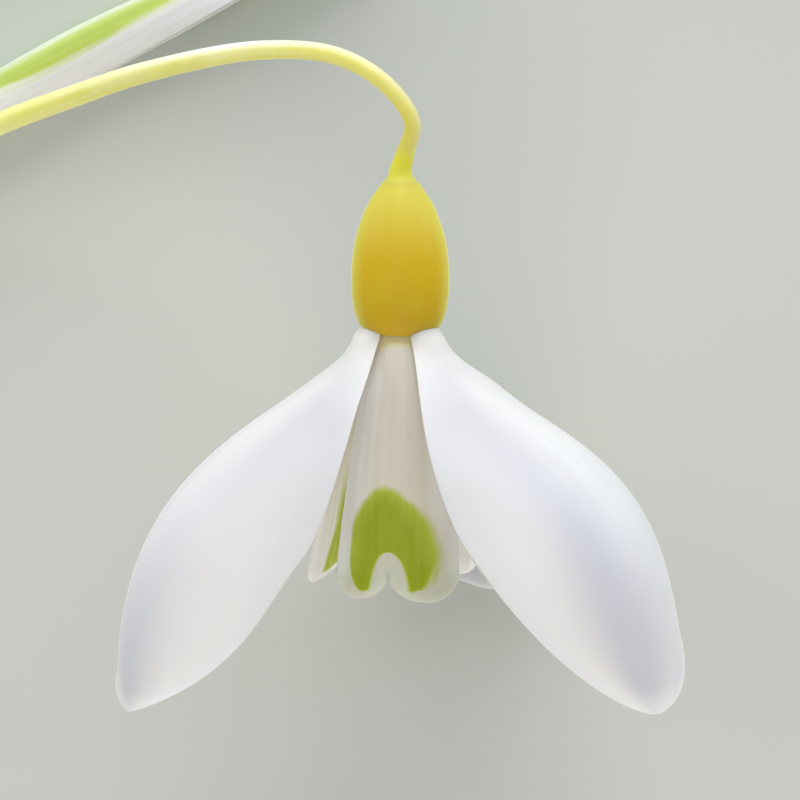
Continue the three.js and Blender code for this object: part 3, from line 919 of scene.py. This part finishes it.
def addStamens():
    parts = {
        "filament": (filamentRings(), stamenMaterial("filamentSkin")),
        "anther": (antherRings(), stamenMaterial("dustedAntherSkin")),
    }
    for i in range(stamens["count"]):
        azimuth = stamens["firstAzimuth"] + 360 / stamens["count"] * i
        for part, (rings, skin) in parts.items():
            addPiece(f"{part}{i + 1}", headToRow(rings, azimuth), tubeFaces(*rings.shape[:2]), {},
                     skin, f"{part}_{i + 1}")
    rings = styleRings()
    addPiece("styleTube", headToRow(rings), tubeFaces(*rings.shape[:2]), {},
             stamenMaterial("styleSkin"), "style")
    print("stamens and style made")


stalks = {
    "joint": [-27.3, 5.9],  # where the scape, the pedicel and the spathe meet
    "heading": 40,  # degrees
    "gap": 0.12,  # between pieces that are grown together
}
heading = math.radians(stalks["heading"])
ahead = np.array([math.cos(heading), math.sin(heading), 0])


# A point some way past the joint in its heading, at a height above the table.
def pastJoint(distance, height):
    return np.array([*stalks["joint"], height]) + ahead * distance


scape = {
    "line": [[-38.6, -36.0], [-39.4, -26.0], [-38.6, -15.5], [-35.6, -5.2]],
    "straightEnd": 4,
    "halfWidth": 1.5,
    "halfHeight": 1.25,
    "slant": 1.1,  # of its cut foot
    "slantShare": 1 / 24,  # of its length, over which the rings turn level
    "cutRings": [0.3, 0.55, 0.75, 0.88, 0.95],  # that fill the cut, as shares of its radius
    "ridges": 14,
    "ridgeDepth": 0.015,
    "taper": 1.6,  # millimetres at the top that slip into the sheath
    "narrowing": 0.22,
    "length": 46,
    "halfGirth": 4.5,
    "steps": 420,
    "sides": 84,
    "green": "#7d9f45",
    "pale": "#b9c97c",
    "bloom": "#93ad68",
    "pith": "#e4e8c8",
}


# The scape: an oval tube with fine ridges, narrowed where it enters the sheath, and cut at a
# slant at its foot, where flat rings fill the cut.
def scapeRings():
    high = scape["halfHeight"]
    line = [[*point, high] for point in scape["line"]]
    line = [*line, pastJoint(-scape["straightEnd"], high), pastJoint(0, high)]
    path = smoothPath(line, scape["steps"])
    t = np.linspace(0, 1, len(path))[:, None]
    angle = anglesRound(scape["sides"])
    left = (1 - t) * np.linalg.norm(np.diff(path, axis=0), axis=1).sum()
    narrow = 1 - scape["narrowing"] * (1 - smoothStep(left, 0, scape["taper"]))
    size = narrow * (1 - scape["ridgeDepth"] * (1 + np.cos(scape["ridges"] * angle)) / 2)
    rings, tangent = stalkRings(path, scape["halfWidth"] * size, high * size, scape["sides"])
    slant = -scape["slant"] * np.cos(angle) * np.clip(1 - t / scape["slantShare"], 0, 1)
    rings = rings + tangent[:, None] * slant[..., None]
    shares = np.array(scape["cutRings"])[:, None, None]
    cut = path[:1, None] + (rings[:1] - path[:1, None]) * shares
    return withPoles(np.concatenate([cut, rings]), path), len(shares) + 1


# Stalk skin: smooth and green under a thin pale bloom that lies in patches 2 mm wide, with fine
# lines along it 0.2 mm apart. It pales towards the sheath, and its cut foot shows the pith.
def scapeMaterial():
    material, tree, shader = startMaterial("bloomedStalkSkin", {
        "Roughness": 0.48,
        "IOR": 1.42,
        "Subsurface Weight": 0.2,
        "Subsurface Radius": (0.7, 1.0, 0.3),
        "Subsurface Scale": 0.0006,
    })
    place = addNode(tree, "Attribute", {}, attribute_name="place").outputs["Vector"]
    parts = addNode(tree, "SeparateXYZ", {0: place}).outputs
    lines = drawnLines(tree, place, 5, 0.12, 3)
    bloom = addNode(tree, "TexNoise", {"Vector": place, "Scale": 0.5, "Detail": 4}).outputs["Fac"]
    line = addNode(tree, "MapRange", {"Value": lines, "From Min": 0.35, "From Max": 0.7}).outputs[0]
    dusted = addNode(tree, "MapRange", {"Value": bloom, "From Min": 0.4, "From Max": 0.7,
                                        "To Max": 0.35}).outputs[0]
    top = addNode(tree, "MapRange", {"Value": parts["Y"], "From Min": 30,
                                     "From Max": scape["length"]}).outputs[0]
    skin = colour(scape["green"])
    for amount, tint in ((line, "bloom"), (dusted, "bloom"), (top, "pale"), (parts["Z"], "pith")):
        mixed = addNode(tree, "Mix", {0: amount, 6: skin, 7: colour(scape[tint])}, data_type="RGBA")
        skin = mixed.outputs[2]
    joinSkin(tree, shader, skin, lines, 0.3, 0.05)
    return material


# Places on a tube in millimetres: a sine round each ring that reaches half the girth, the
# distance along, and 1 on the rings of its cut.
def tubePlace(rings, length, halfGirth, cutRings=0):
    count, sides = rings.shape[:2]
    row = np.clip((np.arange(count) - cutRings) / (count - cutRings - 1), 0, 1)
    aroundRing = np.sin(anglesRound(sides)) * halfGirth
    isCut = (np.arange(count) < cutRings).astype(float)
    grids = np.broadcast_arrays(aroundRing[None, :], row[:, None] * length, isCut[:, None])
    return np.stack(grids, -1)


def addScape():
    rings, cutRings = scapeRings()
    place = tubePlace(rings, scape["length"], scape["halfGirth"], cutRings)
    addPiece("scapeStalk", rings + tableOrigin, tubeFaces(*rings.shape[:2]), {"place": place},
             scapeMaterial(), "scape")
    print("scape made")


pedicel = {
    "straightStart": 1.8,
    "startRise": 0.4,
    "line": [
        [-23.4, 8.6, 3.6], [-19.4, 10.3, 7.2], [-16.0, 11.4, 9.9], [-12.1, 12.5, 13.0],
        [-6.4, 13.3, 17.4], [-2.9, 12.9, 19.1], [-0.6, 11.5, 19.8], [0.55, 9.8, 19.7],
        [0.25, 8.5, 19.1],
    ],
    "baseRadius": 0.6,
    "archRadius": 0.37,
    "taperPower": 1.6,
    "neckShare": 0.07,
    "cover": 0.45,  # of the ovary's top, over which the stalk's skin runs out
    "coverDepth": 0.006,
    "coverRings": 12,
    "joint": "#e8e434",  # of the short yellow knee above the ovary
    "jointAt": 38.5,
    "jointReach": 1.2,
    "ridges": 5,
    "ridgeDepth": 0.05,
    "steps": 420,
    "sides": 48,
    "body": "#f5f28a",
    "pale": "#fbf9b4",
    "green": "#e8e66c",
    "bleached": "#fffef2",  # painted highlight on its top side
    "paintedHighlightAlong": (12, 27),  # millimetres over which that comes in
    "bleachedRound": (0.05, 0.85),  # and how far round, 0 level and 1 on top
    "halfGirth": 1.6,
    "length": 40,
    "neckTint": 14,  # millimetres below the ovary over which it yellows
}


# The pedicel: a round tube that tapers along a power of its length and flares as a square into
# the ovary, where its last rings lie on the ovary's own outline and then dip into it. Low
# ridges, cosines round it, fade out there.
def pedicelRings():
    start = pastJoint(2 * stalks["gap"], scape["halfHeight"])
    rise = pastJoint(pedicel["straightStart"], scape["halfHeight"] + pedicel["startRise"])
    meet = headToRow(np.array([0, 0, ovary["length"] + 2 * stalks["gap"]])) - tableOrigin
    path = smoothPath([start, rise, *pedicel["line"], meet], pedicel["steps"])
    t = np.linspace(0, 1, len(path))
    taper = t ** pedicel["taperPower"]
    body = pedicel["baseRadius"] + (pedicel["archRadius"] - pedicel["baseRadius"]) * taper
    neck = np.clip(1 - (1 - t) / pedicel["neckShare"], 0, 1) ** 2
    radius = body + (ovary["neckRadius"] - body) * neck
    share = np.linspace(0.12, 1, pedicel["coverRings"])
    down = 2 * stalks["gap"] + pedicel["cover"] * share
    ovaryRadius = radiusOfOvary(ovary["length"] - pedicel["cover"] * share)
    path = np.vstack([path, path[-1] - headAxis * down[:, None]])
    radius = np.append(radius, ovaryRadius + pedicel["coverDepth"] * (1 - 4 * share**4))
    toOvary = np.append(smoothStep(t, 1 - pedicel["neckShare"] / 2, 1), np.ones(len(share)))[:, None]
    tangent = unit(unit(np.gradient(path, axis=0)) * (1 - toOvary) - headAxis * toOvary)
    ridge = (1 + np.cos(pedicel["ridges"] * anglesRound(pedicel["sides"]))) / 2
    size = radius[:, None] * (1 - pedicel["ridgeDepth"] * ridge * (1 - toOvary))
    rings, _ = stalkRings(path, size, size, pedicel["sides"], tangent)
    return withPoles(rings, path)


# Flower stalk skin: smooth, waxy and so pale that light passes through it, with lines along it
# less than 0.2 mm apart and greener clouds 3 mm wide. A painted highlight lies along its top side.
def pedicelMaterial():
    material, tree, shader = startMaterial("waxyPedicelSkin", {
        "Roughness": 0.48,
        "IOR": 1.38,
        "Subsurface Weight": 0.45,
        "Subsurface Radius": (1.0, 0.9, 0.3),
        "Subsurface Scale": 0.0008,
        "Coat Weight": 0.05,
        "Coat Roughness": 0.3,
        "Sheen Weight": 0.8,
        "Sheen Roughness": 0.25,
    })
    place = addNode(tree, "Attribute", {}, attribute_name="place").outputs["Vector"]
    lines = drawnLines(tree, place, 6, 0.2, 2)
    cloud = addNode(tree, "TexNoise", {"Vector": place, "Scale": 0.35, "Detail": 2}).outputs["Fac"]
    line = addNode(tree, "MapRange", {"Value": lines, "From Min": 0.35, "From Max": 0.7}).outputs[0]
    greener = addNode(tree, "MapRange", {"Value": cloud, "From Min": 0.45, "From Max": 0.75,
                                         "To Max": 0.6}).outputs[0]
    along = addNode(tree, "SeparateXYZ", {0: place}).outputs["Y"]
    toNeck = addNode(tree, "MapRange", {
        "Value": along, "From Min": pedicel["length"] - pedicel["neckTint"],
        "From Max": pedicel["length"],
    }).outputs[0]
    fromJoint = addNode(tree, "Math", {0: along, 1: pedicel["jointAt"]}, operation="SUBTRACT")
    away = addNode(tree, "Math", {0: fromJoint.outputs[0]}, operation="ABSOLUTE").outputs[0]
    atJoint = addNode(tree, "MapRange", {
        "Value": away, "From Min": 0, "From Max": pedicel["jointReach"], "To Min": 0.8, "To Max": 0,
    }, interpolation_type="SMOOTHSTEP").outputs[0]
    # painted highlight along the top side
    paintedHighlightShare = addNode(tree, "Attribute", {}, attribute_name="paintedHighlightShare").outputs["Fac"]
    layers = [(line, pedicel["pale"]), (greener, pedicel["green"]), (paintedHighlightShare, pedicel["bleached"]),
              (toNeck, ovary["neck"]), (atJoint, pedicel["joint"])]
    skin = colour(pedicel["body"])
    for amount, tint in layers:
        mixed = addNode(tree, "Mix", {0: amount, 6: skin, 7: colour(tint)}, data_type="RGBA")
        skin = mixed.outputs[2]
    joinSkin(tree, shader, skin, lines, 0.2, 0.03)
    return material


def addPedicel():
    rings = pedicelRings()
    place = tubePlace(rings, pedicel["length"], pedicel["halfGirth"])
    # painted highlight: most on top, coming in along the arch
    paintedHighlightShare = smoothStep(-np.cos(anglesRound(pedicel["sides"])), *pedicel["bleachedRound"])
    paintedHighlightShare = paintedHighlightShare * smoothStep(place[..., 1], *pedicel["paintedHighlightAlong"])
    addPiece("pedicelStalk", rings + tableOrigin, tubeFaces(*rings.shape[:2]),
             {"place": place, "paintedHighlightShare": paintedHighlightShare}, pedicelMaterial(), "pedicel")
    print("pedicel made")


spathe = {
    "halfWidth": 4.2,
    "clawHalfWidth": 2.6,
    "widestAt": 0.4,
    "risePower": 1.5,
    "tipPower": 1.5,
    "tipRoot": 1.2,
    "curlAtClaw": 0.67,
    "curl": 0.67,
    "thickness": 0.25,
    "edgeThickness": 0.12,
    "edgeBand": 0.12,
    "line": [[0, 1.5], [8, 1.9], [16, 0.6], [24, -2.3], [31, -6.5]],
    "length": 33.0,
    "slitLift": 80,  # degrees that its slit is turned up by at its foot
    "slitShare": 0.4,  # of its length, over which that fades
    "slitPower": 1.5,
    "keelAt": 0.5,  # of the half-width, either side of the middle
    "keelHalfWidth": 0.2,
    "keelHeight": 0.12,
    "rows": 220,
    "columns": 128,
    "crowding": 0.25,
    "bandAt": 1.7,  # millimetres from its middle line to each green band's
    "membrane": "#fefefb",
    "silk": "#f3f5ec",
    "keel": "#bed25c",
    "keelDeep": "#afc44c",
    "back": "#dcebc6",
}


# The spathe: a leaf rolled almost into a tube, turned so that its slit faces up at the pedicel,
# with its membrane set in from two raised keels, bells of a fourth power across it.
def spatheSheet():
    leaf = spathe
    v = columnsAcross(leaf["columns"], leaf["crowding"])
    u = rowsToTip(leaf["rows"])
    opening = np.clip(1 - u / leaf["slitShare"], 0, 1) ** leaf["slitPower"]
    turn = math.radians(leaf["slitLift"]) * opening
    outer = leafSurface(leaf, u, v, turn, 0, 1 / leaf["curl"])
    keel = np.exp(-(((abs(v) - leaf["keelAt"]) / leaf["keelHalfWidth"]) ** 4))
    sunk = leaf["keelHeight"] * (1 - keel) * (1 - v**6) * np.clip(8 * (1 - u), 0, 1)
    outer = outer + inwardsOf(outer) * sunk[..., None]
    fromEdge = np.minimum(halfWidthAt(leaf, u) * (1 - abs(v)), (1 - u) * leaf["length"])
    depth = sheetDepth(leaf, fromEdge, v) * np.clip(20 * u, 0, 1)
    points, place = sheetPoints(outer, depth, v * leaf["halfWidth"], u * leaf["length"])
    right = np.array([ahead[1], -ahead[0], 0])
    laid = -points[:, 0:1] * [0, 0, 1] + points[:, 1:2] * right - points[:, 2:3] * ahead
    return laid + pastJoint(stalks["gap"], 1 / leaf["curl"]) + tableOrigin, place


# Spathe skin: a papery white membrane with silky lines 0.2 mm apart, green along both keels and
# tinted between them.
def spatheMaterial():
    material, tree, shader = startMaterial("paperySheathSkin", {
        "Roughness": 0.5,
        "IOR": 1.4,
        "Subsurface Weight": 0.45,
        "Subsurface Radius": (0.9, 1.0, 0.7),
        "Subsurface Scale": 0.0006,
        "Sheen Weight": 0.8,
        "Sheen Roughness": 0.5,
    })
    place = addNode(tree, "Attribute", {}, attribute_name="place").outputs["Vector"]
    across = addNode(tree, "SeparateXYZ", {0: place}).outputs["X"]
    side = addNode(tree, "Math", {0: across}, operation="ABSOLUTE").outputs[0]
    fromKeel = addNode(tree, "Math", {0: side, 1: spathe["bandAt"]}, operation="SUBTRACT").outputs[0]
    away = addNode(tree, "Math", {0: fromKeel}, operation="ABSOLUTE").outputs[0]
    lines = drawnLines(tree, place, 4.5, 0.16, 3)
    uneven = addNode(tree, "Math", {0: lines, 1: 0.9, 2: away}, operation="MULTIPLY_ADD").outputs[0]
    keel = addNode(tree, "MapRange", {"Value": uneven, "From Min": 0.9, "From Max": 1.35,
                                      "To Min": 1, "To Max": 0}).outputs[0]
    core = addNode(tree, "MapRange", {"Value": uneven, "From Min": 0.3, "From Max": 0.9,
                                      "To Min": 1, "To Max": 0}).outputs[0]
    back = addNode(tree, "MapRange", {"Value": side, "From Min": 2.0, "From Max": 1.4}).outputs[0]
    line = addNode(tree, "MapRange", {"Value": lines, "From Min": 0.4, "From Max": 0.7}).outputs[0]
    skin = colour(spathe["membrane"])
    for tint, amount in {"silk": line, "back": back, "keel": keel, "keelDeep": core}.items():
        mixed = addNode(tree, "Mix", {0: amount, 6: skin, 7: colour(spathe[tint])}, data_type="RGBA")
        skin = mixed.outputs[2]
    joinSkin(tree, shader, skin, lines, 0.35, 0.05)
    return material


def addSpathe():
    points, place = spatheSheet()
    addPiece("spatheSheath", points, sheetFaces(spathe["rows"], spathe["columns"]), {"place": place},
             spatheMaterial(), "spathe")
    print("spathe made")


studio = {
    "floor": "#d2d6cd",
    "floorSize": 3.2,
    "floorGap": 0.00002,  # below the flower's lowest point
    "world": "#e4e6ea",
    "worldStrength": 0.42,
    "lights": {  # metres and watts
        "skyLight": {"place": (0.06, 1.02, 0.54), "size": 0.9, "power": 8.5, "tint": "#ffffff"},
        "topLight": {"place": (-0.05, 0.0, 0.5), "size": 0.4, "power": 0.42, "tint": "#e8ecff"},
        "warmLight": {"place": (0.15, -1.05, 0.36), "size": 0.9, "power": 6.0, "tint": "#fff0e0"},
        "leftLight": {"place": (-0.84, 0.54, 0.18), "size": 0.48, "power": 2.9, "tint": "#ffffff"},
        "rightLight": {"place": (0.9, 0.54, 0.18), "size": 0.48, "power": 2.9, "tint": "#f6fbff"},
    },
    "cameraFromHead": (-0.000014, -0.003149, 0.3),  # metres from the ovary's lower end
    "lens": 287.2,
    "sensorWidth": 36,
    "clipStart": 0.01,
}


# A matt paper sweep: plain, with only a trace of grain, 1 mm wide.
def floorMaterial():
    material, tree, shader = startMaterial("mattPaperSweep", {"Roughness": 0.85})
    place = addNode(tree, "TexCoord", {}).outputs["Object"]
    grain = addNode(tree, "TexNoise", {"Vector": place, "Scale": 900, "Detail": 2}).outputs["Fac"]
    bump = addNode(tree, "Bump", {"Height": grain, "Strength": 0.05, "Distance": 0.00005})
    shader.inputs["Base Color"].default_value = colour(studio["floor"])
    tree.links.new(bump.outputs[0], shader.inputs["Normal"])
    return material


def addFloor():
    half = studio["floorSize"] / 2
    low = cadBox[0][2] - studio["floorGap"]
    mesh = bpy.data.meshes.new("floor")
    corners = [(-half, -half, low), (half, -half, low), (half, half, low), (-half, half, low)]
    mesh.from_pydata(corners, [], [(0, 1, 2, 3)])
    mesh.materials.append(floorMaterial())
    floor = bpy.data.objects.new("floor", mesh)
    bpy.context.scene.collection.objects.link(floor)


# A square soft light that looks at a point.
def addLight(name, one, target):
    light = bpy.data.lights.new(name, "AREA")
    light.size = one["size"]
    light.energy = one["power"]
    light.color = colour(one["tint"])[:3]
    lamp = bpy.data.objects.new(name, light)
    bpy.context.scene.collection.objects.link(lamp)
    lamp.location = one["place"]
    lamp.rotation_euler = (Vector(target.tolist()) - lamp.location).to_track_quat("-Z", "Y").to_euler()


def addStudio():
    addFloor()
    centre = headOrigin * mm
    for name, one in studio["lights"].items():
        addLight(name, one, centre)
    world = bpy.data.worlds.new("studioWorld")
    world.use_nodes = True
    background = world.node_tree.nodes["Background"]
    background.inputs["Color"].default_value = colour(studio["world"])
    background.inputs["Strength"].default_value = studio["worldStrength"]
    bpy.context.scene.world = world
    bpy.context.scene.view_settings.view_transform = "Standard"
    camera = bpy.data.cameras.new("camera")
    camera.lens = studio["lens"]
    camera.sensor_width = studio["sensorWidth"]
    camera.clip_start = studio["clipStart"]
    holder = bpy.data.objects.new("camera", camera)
    bpy.context.scene.collection.objects.link(holder)
    holder.location = centre + studio["cameraFromHead"]
    bpy.context.scene.camera = holder
    print("studio made")


addOvary()
addOuterTepals()
addInnerTepals()
addStamens()
addScape()
addPedicel()
addSpathe()
addStudio()
